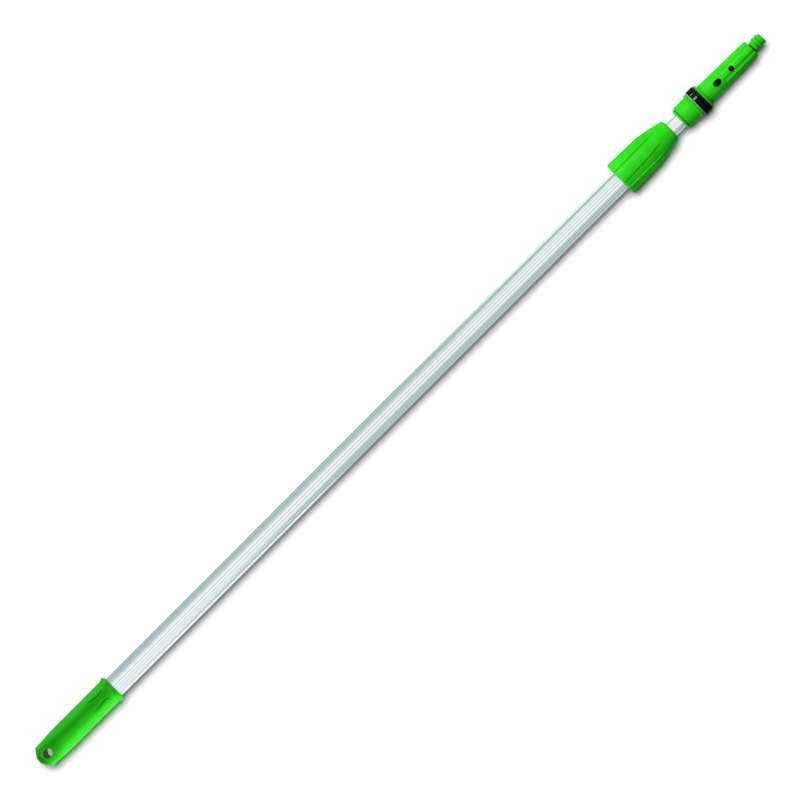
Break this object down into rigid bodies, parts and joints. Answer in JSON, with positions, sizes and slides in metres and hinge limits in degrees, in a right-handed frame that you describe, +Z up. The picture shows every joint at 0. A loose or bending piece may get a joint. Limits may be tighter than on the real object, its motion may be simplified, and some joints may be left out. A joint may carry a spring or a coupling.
{
  "type": "telescopic window cleaning pole",
  "caption": "Telescopic aluminium pole with a twist lock collar, an end grip with a hang hole, and a tapered tool head with a lock ring, a snap button and a threaded tip.",
  "frame": {"origin": "middle of the bottom of the box of the pole as it lies on a flat surface", "axes": "+X along the pole from the grip to the threaded tip, +Z up through the snap button"},
  "size_m": [1.3974, 0.0532, 0.0533],
  "materials": {
    "green_plastic": "moulded, satin",
    "silver_tube": "anodised, satin",
    "black_plastic": "moulded, satin",
    "white_nylon": "moulded, plain",
    "steel": "plain"
  },
  "bodies": {
    "outer_pole": {"outer_tube": "silver_tube", "end_grip": "green_plastic", "grip_pin": "steel", "clamp_ferrule": "white_nylon", "ferrule_rivets": "steel", "collet": "white_nylon"},
    "wedge_ring": {"wedge_ring": "white_nylon"},
    "twist_collar": {"twist_collar": "green_plastic", "collar_retainer": "black_plastic"},
    "inner_pole": {"inner_tube": "silver_tube", "guide_bush": "black_plastic", "bush_pin": "steel", "spigot_plug": "black_plastic", "socket_sleeve": "green_plastic", "socket_rivet": "steel", "ring_washer": "white_nylon", "tool_cone": "green_plastic", "cone_screw": "black_plastic", "button_spring": "steel"},
    "lock_ring": {"lock_ring": "black_plastic"},
    "snap_button": {"snap_button": "black_plastic"}
  },
  "joints": [
    {"name": "wedge_slide", "type": "slide", "parent": "outer_pole", "child": "wedge_ring", "axis": [1, 0, 0], "range_m": [0, 0.00134]},
    {"name": "collar_twist", "type": "hinge", "parent": "wedge_ring", "child": "twist_collar", "pos_m": [0.4723, 0, 0.02668], "axis": [1, 0, 0], "range_deg": [0, 120]},
    {"name": "tube_slide", "type": "slide", "parent": "outer_pole", "child": "inner_pole", "axis": [1, 0, 0], "range_m": [-0.016, 1.038]},
    {"name": "ring_turn", "type": "hinge", "parent": "inner_pole", "child": "lock_ring", "pos_m": [0.5763, 0, 0.02668], "axis": [1, 0, 0], "range_deg": [0, 60]},
    {"name": "button_press", "type": "slide", "parent": "inner_pole", "child": "snap_button", "axis": [0, 0, -1], "range_m": [0, 0.0032], "stiffness_N_per_m": 1500, "springref_m": -0.003, "deforming": ["button_spring"]}
  ],
  "couplings": [
    {"joint": "wedge_slide", "follows": "collar_twist", "m_per_rad": 0.00063662}
  ]
}
